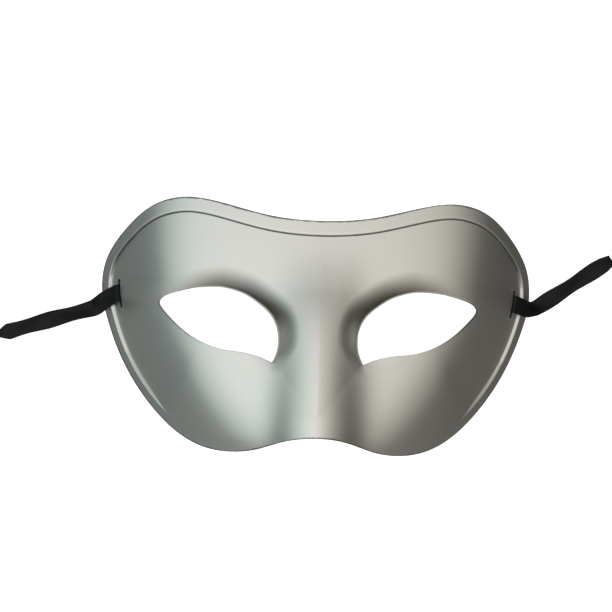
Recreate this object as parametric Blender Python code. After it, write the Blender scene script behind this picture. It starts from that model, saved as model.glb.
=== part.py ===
"""Half mask of silver-painted moulded plastic, lying face up, with a black satin ribbon through each temple slot.

+X is the right side of the mask as it is looked at, +Y points to its brow and +Z out of its face.
The temple edges of the rim lie on the plane z = 0. All lengths are in metres.
"""

import math

import bmesh
import bpy
import numpy as np
from mathutils import Matrix, Vector

MM = 0.001

# Outline of the rim, seen from the front
HALF_WIDTH = 0.089
HALF_HEIGHT = 0.05125
# Eye openings
BRIDGE_WIDTH = 0.0322
EYE_LENGTH = 0.0485
EYE_HEIGHT = 0.0298
EYE_MIDDLE_Y = 0.0004
# Wall and the raised border along its rim
WALL = 0.0014
BORDER_WIDTH = 0.0060
BORDER_RISE = 0.0013
BORDER_STEP = 0.0008
BORDER_FOOT = 3.0
SLOPE_PROBE = 0.6
BORDER_END_Y = -0.0350
BORDER_FADE = 0.0020
# Turn of the front back to the temples
TEMPLE_RUN = 0.0220
TURN_TOP_Y = 0.0450
TURN_DEPTH_Y = 0.1050
TURN_SOFTNESS = 0.0065
TURN_LIMIT = 0.97
TEMPLE_SLOPE = 1.52
TEMPLE_EASE_Y = 0.3500
BOW_RADIUS_X = 0.3125
BOW_RADIUS_Y = 0.6250
REST_LIFT = 0.0020
REST_SEAT = 0.0001
LEVEL_START = 1.6
LEVEL_RUN = 1.2
# Nose
NOSE_HALF_TOP = 0.0130
NOSE_HALF_LOW = 0.0150
NOSE_RISE_TOP = 0.0060
NOSE_RISE_LOW = 0.0120
NOSE_TOP_Y = 0.0160
NOSE_FADE = 0.0065
NOSE_SOFTNESS = 0.0037
NOSE_CROWN = 0.0030
NOSE_RIDGE = 0.0010
NOSE_PAST = 1.2
# Rolled-in brow edge of the eye openings
ROLL_DEPTH = 0.0055
ROLL_WIDTH = 0.0095
ROLL_PAST = 1.2
# Ribbon slots, set in from the rim's widest point
SLOT_INSET = 0.0066
SLOT_MIDDLE_Y = 0.0119
SLOT_LENGTH = 0.0112
SLOT_WIDTH = 0.0018
SLOT_LEAN = 9.0
SLOT_MIDDLE_X = HALF_WIDTH - SLOT_INSET
# Ribbons
RIBBON_WIDTH = 0.0070
RIBBON_THICK = 0.0010
RIBBON_GAP = 0.0005
TAIL_LENGTH = 0.0110
TURN_START = 0.0030
TURN_RUN = 0.0140
LEAST_FLAT = 0.1
RIBBON_STEP = 0.0025

# Right half of the rim from the brow's middle round to the nose's lower middle:
# (share of HALF_WIDTH, share of HALF_HEIGHT)
RIM_TABLE = (
    (0.000, 0.836),
    (0.227, 0.868),
    (0.455, 0.963),
    (0.618, 1.000),
    (0.756, 0.940),
    (0.892, 0.743),
    (0.983, 0.497),
    (1.000, 0.274),
    (0.970, 0.021),
    (0.909, -0.258),
    (0.828, -0.502),
    (0.730, -0.713),
    (0.619, -0.880),
    (0.506, -0.973),
    (0.388, -1.000),
    (0.266, -0.971),
    (0.142, -0.895),
    (0.000, -0.861),
)
RIM_TEMPLE_ROW = 7

# Right eye opening from its lower inner corner, up the nose side, out along the brow and back under the eye:
# (share of EYE_LENGTH from the nose side, share of EYE_HEIGHT from its middle, share of ROLL_DEPTH,
# share of ROLL_WIDTH)
EYE_TABLE = (
    (0.047, -0.500, 0.15, 0.53),
    (0.014, -0.375, 0.40, 0.68),
    (0.000, -0.235, 0.60, 0.84),
    (0.007, -0.075, 0.85, 0.95),
    (0.036, 0.057, 1.00, 1.00),
    (0.090, 0.180, 1.00, 1.00),
    (0.160, 0.278, 0.90, 1.00),
    (0.265, 0.393, 0.75, 1.00),
    (0.370, 0.458, 0.62, 1.00),
    (0.470, 0.493, 0.55, 1.00),
    (0.570, 0.495, 0.45, 0.95),
    (0.690, 0.477, 0.30, 0.84),
    (0.810, 0.432, 0.15, 0.63),
    (0.905, 0.387, 0.05, 0.53),
    (0.975, 0.330, 0.00, 0.53),
    (0.998, 0.268, 0.00, 0.53),
    (0.982, 0.205, 0.00, 0.53),
    (0.935, 0.115, 0.00, 0.53),
    (0.838, -0.037, 0.00, 0.53),
    (0.700, -0.198, 0.00, 0.53),
    (0.555, -0.300, 0.00, 0.53),
    (0.425, -0.350, 0.00, 0.53),
    (0.295, -0.372, 0.00, 0.53),
    (0.175, -0.415, 0.05, 0.53),
    (0.105, -0.455, 0.10, 0.53),
    (0.047, -0.500, 0.15, 0.53),
)
EYE_BROW_ROW = 5
EYE_TEMPLE_ROW = 15

# Each ribbon's free run after the slot, from the face of the border down to the surface that the mask lies on:
# (distance out past HALF_WIDTH, y, z, radius of the bend there)
LEFT_RUN = (
    (-0.0014, 0.0089, 0.0055, 0.0080),
    (0.0028, 0.0056, 0.0006, 0.0040),
    (0.0190, 0.0008, 0.0006, 0.0400),
    (0.0422, -0.0065, 0.0006, 0.0000),
)
RIGHT_RUN = (
    (-0.0015, 0.0100, 0.0055, 0.0080),
    (0.0028, 0.0105, 0.0006, 0.0040),
    (0.0110, 0.0160, 0.0006, 0.0150),
    (0.0230, 0.0243, 0.0006, 0.0400),
    (0.0342, 0.0318, 0.0006, 0.0000),
)
# Ends of the ribbons: (distance from the end, share of RIBBON_WIDTH)
LEFT_END = ((0.0040, 1.00), (0.0000, 0.40))
RIGHT_END = ((0.0040, 1.00), (0.0000, 0.75))

# Facets: along the brow, along the cheek, down the middle, from the eye to the border, and in a ribbon's bends
ALONG_BROW = 26
ALONG_CHEEK = 32
ALONG_MIDDLE = 20
RING_GROWTH = 1.15
EYE_SAMPLES = 400
EYE_TO_BORDER = 12
BEND_STEP_ANGLE = 24.0
BEND_STEPS = 2
SHARP_ANGLE = 40.0


def spline(rows, closed):
    """Smooth curve through rows of numbers: knots and a function of the knot parameter."""
    points = np.array(rows, float)
    if closed:
        points = np.vstack([points, points[:1]])
    step = np.hypot(*np.diff(points[:, :2], axis=0).T)
    knots = np.concatenate([[0.0], np.cumsum(step)])
    count = len(knots)
    matrix = np.zeros((count, count))
    target = np.zeros((count, points.shape[1]))
    slope = np.diff(points, axis=0) / step[:, None]
    for i in range(1, count - 1):
        matrix[i, i - 1] = step[i - 1]
        matrix[i, i] = 2.0 * (step[i - 1] + step[i])
        matrix[i, i + 1] = step[i]
        target[i] = 6.0 * (slope[i] - slope[i - 1])
    if closed:
        matrix[0, 0] = 1.0
        matrix[0, -1] = -1.0
        matrix[-1, 0] = 2.0 * step[0]
        matrix[-1, 1] = step[0]
        matrix[-1, -2] = step[-1]
        matrix[-1, -1] = 2.0 * step[-1]
        target[-1] = 6.0 * (slope[0] - slope[-1])
    else:
        matrix[0, 0] = 1.0
        matrix[-1, -1] = 1.0
    bend = np.linalg.solve(matrix, target)

    def at(t):
        t = np.atleast_1d(np.asarray(t, float))
        i = np.clip(np.searchsorted(knots, t, side="right") - 1, 0, count - 2)
        h = step[i][:, None]
        a = (knots[i + 1] - t)[:, None] / h
        b = 1.0 - a
        curve = a * points[i] + b * points[i + 1]
        return curve + ((a ** 3 - a) * bend[i] + (b ** 3 - b) * bend[i + 1]) * h * h / 6.0

    return knots, at


def even_points(at, start, end, count):
    """count + 1 points, evenly spaced along a spline between two knot values."""
    t = np.linspace(start, end, 40 * count + 1)
    run = at(t)[:, :2]
    length = np.concatenate([[0.0], np.cumsum(np.hypot(*np.diff(run, axis=0).T))])
    wanted = np.interp(np.linspace(0.0, length[-1], count + 1), length, t)
    return at(wanted)


def rim_spline():
    """Closed rim curve, centred in y: the right half's rows, then their mirror image."""
    half = [(x * HALF_WIDTH, y * HALF_HEIGHT) for x, y in RIM_TABLE]
    other = [(-x, y) for x, y in reversed(half[1:-1])]
    knots, at = spline(half + other, True)
    y = at(np.linspace(0.0, knots[-1], 2000))[:, 1]
    middle = (y.max() + y.min()) / 2
    return spline([(x, y - middle) for x, y in half + other], True)


def eye_spline():
    """Open curve round the right eye opening, with its sharp corner at both ends."""
    rows = []
    for along, up, depth, width in EYE_TABLE:
        x = BRIDGE_WIDTH / 2 + along * EYE_LENGTH
        y = EYE_MIDDLE_Y + up * EYE_HEIGHT
        rows.append((x, y, depth * ROLL_DEPTH, width * ROLL_WIDTH))
    return spline(rows, False)


RIM_KNOTS, RIM_AT = rim_spline()
EYE_KNOTS, EYE_AT = eye_spline()
EYE_FINE = EYE_AT(np.linspace(0.0, EYE_KNOTS[-1], EYE_SAMPLES))
EYE_TANGENT = np.gradient(EYE_FINE[:, :2], axis=0)
EYE_TANGENT /= np.linalg.norm(EYE_TANGENT, axis=1, keepdims=True)
EYE_SPACING = EYE_KNOTS[-1] / (EYE_SAMPLES - 1)


def soft_ramp(t):
    """Zero below 0, t above it, with a rounded start."""
    return np.logaddexp(0.0, t)


def soft_step(t):
    """From 0 to 1 through 0."""
    return 0.5 + 0.5 * np.tanh(0.5 * t)


def raw_height(x, y):
    """Height of the front over the plan, before the temples' edges are levelled."""
    side = np.sqrt(x * x + NOSE_RIDGE * NOSE_RIDGE)
    below = np.clip(TURN_TOP_Y - y, 0.0, TURN_LIMIT * TURN_DEPTH_Y)
    narrow = np.sqrt(1.0 - (below / TURN_DEPTH_Y) ** 2)
    turn = (HALF_WIDTH - TEMPLE_RUN) * narrow
    lean = (HALF_WIDTH - TEMPLE_RUN) * below / (TURN_DEPTH_Y ** 2 * narrow)
    past = (side - turn) / np.sqrt(1.0 + lean * lean)
    slope = TEMPLE_SLOPE * (1.0 - y / TEMPLE_EASE_Y)
    height = -slope * TURN_SOFTNESS * soft_ramp(past / TURN_SOFTNESS)
    height = height - x * x / (2 * BOW_RADIUS_X) - y * y / (2 * BOW_RADIUS_Y)
    nose_end = RIM_TABLE[-1][1] * HALF_HEIGHT
    start = soft_step((NOSE_TOP_Y - y) / NOSE_FADE)
    run = np.clip((NOSE_TOP_Y - y) / (NOSE_TOP_Y - nose_end), 0.0, NOSE_PAST)
    rise = start * (NOSE_RISE_TOP + (NOSE_RISE_LOW - NOSE_RISE_TOP) * run)
    half = NOSE_HALF_TOP + (NOSE_HALF_LOW - NOSE_HALF_TOP) * run
    within = soft_step((half - side) / NOSE_SOFTNESS)
    height = height + within * (rise - start * NOSE_CROWN * run * (side / half) ** 2)
    return height


def levelling():
    """How much the rim is lifted along its temple edges, as a table over y, and the level that it then keeps."""
    t = np.linspace(RIM_KNOTS[3], RIM_KNOTS[12], 400)
    rim = RIM_AT(t)
    raw = raw_height(rim[:, 0], rim[:, 1])
    floor = raw.min() + REST_LIFT
    order = np.argsort(rim[:, 1])
    return rim[order, 1], np.maximum(0.0, floor - raw)[order], floor


LEVEL_Y, LEVEL_LIFT, LEVEL_FLOOR = levelling()


def eye_distance(x, y):
    """Nearest row of the fine eye curve, and the distance from that curve, negative inside the opening."""
    away_x = x[..., None] - EYE_FINE[:, 0]
    away_y = y[..., None] - EYE_FINE[:, 1]
    near = np.hypot(away_x, away_y).argmin(axis=-1)
    away_x = x - EYE_FINE[near, 0]
    away_y = y - EYE_FINE[near, 1]
    along = away_x * EYE_TANGENT[near, 0] + away_y * EYE_TANGENT[near, 1]
    across = away_y * EYE_TANGENT[near, 0] - away_x * EYE_TANGENT[near, 1]
    beyond = np.maximum(np.abs(along) - EYE_SPACING, 0.0)
    at_corner = (near == 0) | (near == len(EYE_FINE) - 1)
    inside = (across < 0.0) & ~at_corner
    return near, np.hypot(across, beyond) * np.where(inside, -1.0, 1.0)


def front_height(x, y):
    """Height of the border's face over the plan; the temples' edges reach the same level."""
    x = np.asarray(x, float)
    y = np.asarray(y, float)
    start = HALF_WIDTH - LEVEL_START * TEMPLE_RUN
    outward = np.clip((np.abs(x) - start) / (LEVEL_RUN * TEMPLE_RUN), 0.0, 1.0)
    lift = np.interp(y, LEVEL_Y, LEVEL_LIFT) * outward * outward * (3.0 - 2.0 * outward)
    near, gap = eye_distance(np.abs(x), y)
    reach = np.clip(1.0 - gap / EYE_FINE[near, 3], 0.0, ROLL_PAST)
    return raw_height(x, y) + lift - LEVEL_FLOOR - EYE_FINE[near, 2] * reach * reach


def front_normal(x, y):
    """Unit normal of that surface."""
    e = 0.1 * MM
    slope_x = (front_height(x + e, y) - front_height(x - e, y)) / (2 * e)
    slope_y = (front_height(x, y + e) - front_height(x, y - e)) / (2 * e)
    normal = np.stack([-slope_x, -slope_y, np.ones_like(slope_x)], axis=-1)
    return normal / np.linalg.norm(normal, axis=-1, keepdims=True)


def resting_lift():
    """How far the front is raised so that the levelled stretch of the wall's inner edge lies on z = 0."""
    rim = RIM_AT(np.linspace(RIM_KNOTS[3], RIM_KNOTS[12], 200))
    down = front_normal(rim[:, 0], rim[:, 1])[:, 2] * (WALL + BORDER_RISE)
    edge = front_height(rim[:, 0], rim[:, 1]) - down
    return -edge.min() - REST_SEAT


SHELL_LIFT = resting_lift()


def border_depths():
    """Distances from the rim, measured on the surface, and the share of the step that each lies down by."""
    middle = BORDER_WIDTH
    return (
        (0.0, 0.0),
        (middle - BORDER_STEP / 2, 0.0),
        (middle, 0.5),
        (middle + BORDER_STEP / 2, 1.0),
        (middle + BORDER_STEP * BORDER_FOOT, 1.0),
    )


def rim_columns():
    """Right half of the rim: points, outward plan normals, foreshortening and the border's presence."""
    brow = even_points(RIM_AT, RIM_KNOTS[0], RIM_KNOTS[RIM_TEMPLE_ROW], ALONG_BROW)
    cheek = even_points(RIM_AT, RIM_KNOTS[RIM_TEMPLE_ROW], RIM_KNOTS[len(RIM_TABLE) - 1], ALONG_CHEEK)
    points = np.vstack([brow, cheek[1:]])
    before = np.vstack([points[1] * (-1, 1), points[:-1]])
    after = np.vstack([points[1:], points[-2] * (-1, 1)])
    along = after - before
    along /= np.linalg.norm(along, axis=1, keepdims=True)
    outward = np.stack([-along[:, 1], along[:, 0]], axis=1)
    outward *= np.sign((outward * points).sum(axis=1))[:, None]
    inset = points - outward * BORDER_WIDTH * SLOPE_PROBE
    e = 0.5 * MM
    slope = front_height(*(inset + outward * e).T) - front_height(*(inset - outward * e).T)
    shorten = 1.0 / np.sqrt(1.0 + (slope / (2 * e)) ** 2)
    present = soft_step((points[:, 1] - BORDER_END_Y) / BORDER_FADE)
    return points, outward, shorten, present


def plan_grid(bm, columns, rows, place):
    """A grid of quads whose corners place(column, row) puts in plan, with each corner's step depth kept."""
    drop = bm.verts.layers.float.get("drop") or bm.verts.layers.float.new("drop")
    made = bmesh.ops.create_grid(bm, x_segments=columns, y_segments=rows, size=1.0)["verts"]
    for vert in made:
        i = round((vert.co.x + 1.0) / 2.0 * columns)
        j = round((vert.co.y + 1.0) / 2.0 * rows)
        x, y, depth = place(i, j)
        vert.co = (x, y, 0.0)
        vert[drop] = depth


def right_half():
    """Plan mesh of the mask's right half: the border strip, then quads from it to the eye opening."""
    bm = bmesh.new()
    points, outward, shorten, present = rim_columns()
    depths = border_depths()
    strips = [points - outward * (d * shorten)[:, None] for d, _ in depths]
    for strip in strips:
        strip[0, 0] = 0.0
        strip[-1, 0] = 0.0

    def border(i, j):
        return (*strips[j][i], present[i] * depths[j][1] * BORDER_RISE)

    plan_grid(bm, len(points) - 1, len(depths) - 1, border)

    inner = strips[-1]
    top = inner[0, 1]
    bottom = inner[-1, 1]
    middle = np.linspace(bottom, top, ALONG_MIDDLE + 1)
    fall = np.linspace(0.0, 1.0, ALONG_MIDDLE + 1)
    fall = fall * fall * (3.0 - 2.0 * fall)
    ring = [(x, y, p) for (x, y), p in zip(inner, present)]
    ring += [(0.0, y, present[-1] + (present[0] - present[-1]) * f) for y, f in zip(middle[1:], fall[1:])]
    brow_t = EYE_KNOTS[EYE_BROW_ROW]
    corner_t = EYE_KNOTS[EYE_TEMPLE_ROW]
    over = even_points(EYE_AT, brow_t, corner_t, ALONG_BROW)
    under = even_points(EYE_AT, corner_t, EYE_KNOTS[-1], ALONG_CHEEK)
    nose = even_points(EYE_AT, EYE_KNOTS[0], brow_t, ALONG_MIDDLE)
    eye = np.vstack([over, under[1:], nose[1:]])[:, :2]

    def field(i, j):
        share = (j / EYE_TO_BORDER) ** RING_GROWTH
        x = eye[i][0] + (ring[i][0] - eye[i][0]) * share
        y = eye[i][1] + (ring[i][1] - eye[i][1]) * share
        depth = ring[i][2] + (1.0 - ring[i][2]) * (1.0 - share)
        return x, y, depth * BORDER_RISE

    plan_grid(bm, len(ring) - 1, EYE_TO_BORDER, field)
    bmesh.ops.remove_doubles(bm, verts=bm.verts[:], dist=0.001 * MM)
    return bm


def shell_mesh():
    """Both halves, raised to the front's form and backed by the wall's inner face."""
    bm = right_half()
    bmesh.ops.mirror(bm, geom=bm.verts[:] + bm.edges[:] + bm.faces[:], axis="X", merge_dist=0.001 * MM)
    bmesh.ops.recalc_face_normals(bm, faces=bm.faces[:])
    if sum(face.normal.z for face in bm.faces) < 0.0:
        bmesh.ops.reverse_faces(bm, faces=bm.faces[:])
    drop = bm.verts.layers.float.get("drop")
    outer = bm.verts[:]
    outer_faces = bm.faces[:]
    plan = np.array([(v.co.x, v.co.y) for v in outer])
    normal = front_normal(plan[:, 0], plan[:, 1])
    height = front_height(plan[:, 0], plan[:, 1])
    surface = np.column_stack([plan, height])
    smooth = smooth_drop(outer, drop)
    extruded = bmesh.ops.extrude_face_region(bm, geom=outer_faces, use_keep_orig=True)["geom"]
    made = [item for item in extruded if isinstance(item, bmesh.types.BMVert)]
    tree = {(round(v.co.x * 1e7), round(v.co.y * 1e7)): k for k, v in enumerate(outer)}
    inner = {tree[(round(v.co.x * 1e7), round(v.co.y * 1e7))]: v for v in made}
    for k, vert in enumerate(outer):
        back = surface[k] - normal[k] * (WALL + smooth[k])
        inner[k].co = (back[0], back[1], back[2])
        vert.co = surface[k] - normal[k] * vert[drop]
    for vert in bm.verts:
        vert.co.z = max(0.0, vert.co.z + SHELL_LIFT)
    bmesh.ops.recalc_face_normals(bm, faces=bm.faces[:])
    mesh = bpy.data.meshes.new("mask_shell")
    bm.to_mesh(mesh)
    bm.free()
    return mesh


def smooth_drop(verts, drop):
    """Depth of the field under the border's face at each corner, without the step itself."""
    points, _, _, present = rim_columns()
    plan = np.array([(abs(v.co.x), v.co.y) for v in verts])
    kept = np.array([v[drop] for v in verts])
    near = np.hypot(plan[:, None, 0] - points[:, 0], plan[:, None, 1] - points[:, 1])
    edge = near.min(axis=1) < BORDER_WIDTH + BORDER_STEP
    under = present[near.argmin(axis=1)] * BORDER_RISE
    return np.where(edge, np.maximum(under, kept), kept)


def add_object(name, mesh, material):
    item = bpy.data.objects.new(name, mesh)
    bpy.context.scene.collection.objects.link(item)
    item.data.materials.append(material)
    item.data.shade_smooth()
    item.data.set_sharp_from_angle(angle=math.radians(SHARP_ANGLE))
    return item


def finish(name, colour, roughness, metallic):
    material = bpy.data.materials.new(name)
    material.use_nodes = True
    shader = material.node_tree.nodes["Principled BSDF"]
    shader.inputs["Base Color"].default_value = (*colour, 1.0)
    shader.inputs["Roughness"].default_value = roughness
    shader.inputs["Metallic"].default_value = metallic
    return material


def slot_frame(side):
    """Middle of a slot at the middle of the wall, with its directions down the wall, along the slot and out."""
    x = np.array([side * SLOT_MIDDLE_X])
    y = np.array([SLOT_MIDDLE_Y])
    out = front_normal(x, y)[0]
    lean = math.radians(SLOT_LEAN)
    along = np.array([side * math.sin(lean), math.cos(lean), 0.0])
    along -= out * along.dot(out)
    along /= np.linalg.norm(along)
    down = np.cross(along, out) * side
    middle = np.array([x[0], y[0], front_height(x, y)[0] + SHELL_LIFT])
    middle -= out * (BORDER_RISE + WALL / 2)
    return middle, down, along, out


def slot_cutter(side):
    """A bar that stands square to the wall where a ribbon passes through it."""
    middle, down, along, out = slot_frame(side)
    bm = bmesh.new()
    bmesh.ops.create_cube(bm, size=1.0)
    bmesh.ops.scale(bm, vec=(SLOT_WIDTH, SLOT_LENGTH, 8 * WALL), verts=bm.verts[:])
    turn = Matrix((down * side, along, out)).transposed()
    bmesh.ops.rotate(bm, cent=(0, 0, 0), matrix=turn, verts=bm.verts[:])
    bmesh.ops.translate(bm, vec=middle, verts=bm.verts[:])
    mesh = bpy.data.meshes.new("slot")
    bm.to_mesh(mesh)
    bm.free()
    cutter = bpy.data.objects.new("slot_right" if side > 0 else "slot_left", mesh)
    bpy.context.scene.collection.objects.link(cutter)
    cutter.hide_render = True
    cutter.display_type = "WIRE"
    return cutter


def rounded_path(corners, spacing):
    """Points along straight runs whose corners (x, y, z, radius) are rounded, with at most spacing between them."""
    places = [np.array(c[:3]) for c in corners]
    path = [places[0]]
    for before, here, after, corner in zip(places, places[1:], places[2:], corners[1:]):
        come = (here - before) / np.linalg.norm(here - before)
        go = (after - here) / np.linalg.norm(after - here)
        angle = math.acos(max(-1.0, min(1.0, float(come.dot(go)))))
        cut = corner[3] * math.tan(angle / 2)
        turns = math.ceil(angle / math.radians(BEND_STEP_ANGLE))
        count = max(BEND_STEPS, math.ceil(corner[3] * angle / spacing), turns)
        for k in range(count + 1):
            t = k / count
            path.append((here - come * cut) * (1 - t) ** 2 + here * 2 * t * (1 - t) + (here + go * cut) * t * t)
    path.append(places[-1])
    filled = [path[0]]
    for point in path[1:]:
        run = np.linalg.norm(point - filled[-1])
        if run < 0.02 * MM:
            continue
        count = max(1, math.ceil(run / spacing))
        start = filled[-1]
        filled += [start + (point - start) * (k / count) for k in range(1, count + 1)]
    return np.array(filled)


def ribbon_path(side, run):
    """Middle line of a ribbon: its tail against the inside of the wall, through the slot, then its free run."""
    middle, down, _, out = slot_frame(side)
    off = WALL / 2 + RIBBON_GAP + RIBBON_THICK / 2
    x = np.array([side * SLOT_MIDDLE_X - down[0] * TAIL_LENGTH])
    y = np.array([SLOT_MIDDLE_Y - down[1] * TAIL_LENGTH])
    tail = np.array([x[0], y[0], front_height(x, y)[0] + SHELL_LIFT])
    tail -= front_normal(x, y)[0] * (BORDER_RISE + WALL / 2 + off)
    corners = [
        (*tail, 0.0),
        (*(middle - out * off), RIBBON_THICK),
        (*(middle + out * off), RIBBON_THICK),
    ]
    corners += [(side * (HALF_WIDTH + beyond), y, z, radius) for beyond, y, z, radius in run]
    return rounded_path(corners, RIBBON_STEP)


def ribbon_mesh(name, side, run, end):
    """A flat strip along the path, turned from the slot's direction to lie flat on the surface."""
    path = ribbon_path(side, run)
    _, _, along, _ = slot_frame(side)
    length = np.concatenate([[0.0], np.cumsum(np.linalg.norm(np.diff(path, axis=0), axis=1))])
    tangent = np.gradient(path, axis=0)
    tangent /= np.linalg.norm(tangent, axis=1, keepdims=True)
    flat = np.cross([0.0, 0.0, 1.0], tangent)
    flat *= np.sign(flat[:, 1])[:, None]
    turn = np.clip((length - TAIL_LENGTH - TURN_START) / TURN_RUN, 0.0, 1.0)
    turn = (turn * turn * (3.0 - 2.0 * turn))[:, None]
    flat /= np.maximum(np.linalg.norm(flat, axis=1, keepdims=True), LEAST_FLAT)
    across = along * (1.0 - turn) + flat * turn
    across -= tangent * (across * tangent).sum(axis=1, keepdims=True)
    across /= np.linalg.norm(across, axis=1, keepdims=True)
    face = np.cross(across, tangent)
    left = length[-1] - length
    share = np.interp(left, [end[1][0], end[0][0]], [end[1][1], end[0][1]])
    bm = bmesh.new()
    count = len(path) - 1
    bmesh.ops.create_grid(bm, x_segments=count, y_segments=1, size=1.0)
    lower = {}
    for vert in bm.verts:
        lower[vert] = (round((vert.co.x + 1.0) / 2.0 * count), 1.0 if vert.co.y > 0 else -1.0)
        vert.co = (*vert.co.xy, 0.0)
    keys = {(round(v.co.x * 1e6), round(v.co.y * 1e6)): place for v, place in lower.items()}
    faces = bm.faces[:]
    made = bmesh.ops.extrude_face_region(bm, geom=faces, use_keep_orig=True)["geom"]
    made = [item for item in made if isinstance(item, bmesh.types.BMVert)]
    upper = {v: keys[(round(v.co.x * 1e6), round(v.co.y * 1e6))] for v in made}
    for places, level in ((lower, -0.5), (upper, 0.5)):
        for vert, (i, edge) in places.items():
            reach = edge * share[i] * RIBBON_WIDTH / 2
            vert.co = path[i] + across[i] * reach + face[i] * level * RIBBON_THICK
    bmesh.ops.recalc_face_normals(bm, faces=bm.faces[:])
    mesh = bpy.data.meshes.new(name)
    bm.to_mesh(mesh)
    bm.free()
    return mesh


def build():
    for item in list(bpy.data.objects):
        bpy.data.objects.remove(item, do_unlink=True)
    silver = finish("silver_paint", (0.62, 0.61, 0.58), 0.35, 0.9)
    shell = add_object("mask_shell", shell_mesh(), silver)
    for side in (1, -1):
        cut = shell.modifiers.new("slot", "BOOLEAN")
        cut.operation = "DIFFERENCE"
        cut.solver = "EXACT"
        cut.object = slot_cutter(side)
    satin = finish("black_satin", (0.012, 0.012, 0.013), 0.45, 0.0)
    add_object("ribbon_left", ribbon_mesh("ribbon_left", -1, LEFT_RUN, LEFT_END), satin)
    add_object("ribbon_right", ribbon_mesh("ribbon_right", 1, RIGHT_RUN, RIGHT_END), satin)


build()
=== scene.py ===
"""Looks of a silver-painted half mask lying face up, with a black satin tie through the slot at each temple.

+X is the right side of the mask as it is looked at, +Y points to its brow and +Z out of its face. All lengths
are in metres.
"""

import math

import bmesh
import bpy
import numpy as np
from bpy.props import FloatProperty, FloatVectorProperty, IntProperty, PointerProperty
from mathutils import Matrix, Vector


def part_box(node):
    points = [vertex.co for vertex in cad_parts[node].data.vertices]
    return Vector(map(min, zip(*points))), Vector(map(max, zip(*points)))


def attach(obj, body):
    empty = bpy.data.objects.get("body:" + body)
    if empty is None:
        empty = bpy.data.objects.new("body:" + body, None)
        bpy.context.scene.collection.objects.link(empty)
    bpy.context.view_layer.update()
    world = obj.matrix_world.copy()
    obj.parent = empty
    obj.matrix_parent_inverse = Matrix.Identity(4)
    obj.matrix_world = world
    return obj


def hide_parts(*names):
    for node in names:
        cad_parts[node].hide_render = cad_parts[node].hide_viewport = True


bl_info = {
    "name": "Half mask",
    "version": (1, 0, 0),
    "blender": (4, 5, 0),
    "location": "3D View > Sidebar > Half mask",
    "description": "Silver-painted half mask with black satin ties, dressed over its packed frame",
    "category": "Add Mesh",
}

MM = 0.001
# Places compared at a time, the distance that joins corners, and the factor that makes whole numbers of a
# place in plan
CHUNK = 4000
WELD = 0.000001
PLAN_KEY = 1e7

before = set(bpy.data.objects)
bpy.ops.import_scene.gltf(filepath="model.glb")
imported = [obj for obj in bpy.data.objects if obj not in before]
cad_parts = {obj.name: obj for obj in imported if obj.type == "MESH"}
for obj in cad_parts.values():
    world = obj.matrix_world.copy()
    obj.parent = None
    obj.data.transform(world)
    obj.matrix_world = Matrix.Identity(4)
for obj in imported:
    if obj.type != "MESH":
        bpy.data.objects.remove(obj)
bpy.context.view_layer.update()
SHELL_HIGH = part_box("mask_shell")[1]

# Turn of the front back to the temples
TEMPLE_RUN = 0.0220
TURN_TOP_Y = 0.0450
TURN_DEPTH_Y = 0.1050
TURN_SOFTNESS = 0.0065
TURN_LIMIT = 0.97
TEMPLE_SLOPE = 1.52
TEMPLE_EASE_Y = 0.3500
BOW_RADIUS_X = 0.3125
BOW_RADIUS_Y = 0.6250
REST_LIFT = 0.0020
REST_SEAT = 0.0001
# Rows of the rim table between which the temples' edges are levelled; then, in temple runs, how far inwards
# of the widest place that starts and over what run it grows
REST_ROWS = (3, 12)
LEVEL_START = 1.6
LEVEL_RUN = 1.2
# Nose
NOSE_HALF_TOP = 0.0130
NOSE_HALF_LOW = 0.0150
NOSE_RISE_TOP = 0.0060
NOSE_RISE_LOW = 0.0120
NOSE_TOP_Y = 0.0160
NOSE_FADE = 0.0065
NOSE_SOFTNESS = 0.0037
NOSE_CROWN = 0.0030
NOSE_RIDGE = 0.0010
NOSE_PAST = 1.2
# Eye openings and the border's lower end
EYE_MIDDLE_Y = 0.0004
CORNER_CALM = 0.0090
ROLL_PAST = 1.2
EYE_TRIM = 0.0030
BORDER_END_Y = -0.0350
BORDER_FADE = 0.0020
# Lengths over which slopes are measured: for a normal, and for the border's foreshortening, which is taken at
# this share of its width
NORMAL_STEP = 0.0001
SLOPE_STEP = 0.0005
SLOPE_PROBE = 0.6
# Quads for each step of fineness: along the brow, the cheek and the middle, and from an eye to the border,
# where the rings widen by this power
ALONG_BROW = 26
ALONG_CHEEK = 32
ALONG_MIDDLE = 20
EYE_TO_BORDER = 12
RING_GROWTH = 1.15
# Border widths from the rim within which the wall's back keeps the border's depth
STEP_REACH = 1.15
# Angles, in degrees, above which an edge is rounded and above which it shades sharp
ROUND_ANGLE = 60.0
SHARP_ANGLE = 38.0
# Fewest faces of a shell whose slots were cut well
LEAST_FACES = 1000
# Ribbon slots
SLOT_MIDDLE_X = 0.0824
SLOT_MIDDLE_Y = 0.0119
SLOT_LEAN = 9.0
SLOT_ROUND = 0.0004
CUTTER_WALLS = 8
# Ribbons
RIBBON_GAP = 0.0005
RIBBON_SOLID = 0.0010
TAIL_LENGTH = 0.0110
TURN_START = 0.0030
TURN_WIDTHS = 2.0
LEAST_FLAT = 0.1
RIBBON_COLUMNS = 10
BEND_STEPS = 6
LEAST_RUN = 0.00002
TWIST = 0.55
TWIST_TURNS = 150.0
RIPPLE = 0.00025
RIPPLE_TURNS = 330.0
CURL = 0.00012
RIBBON_REST = 0.0001

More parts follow.
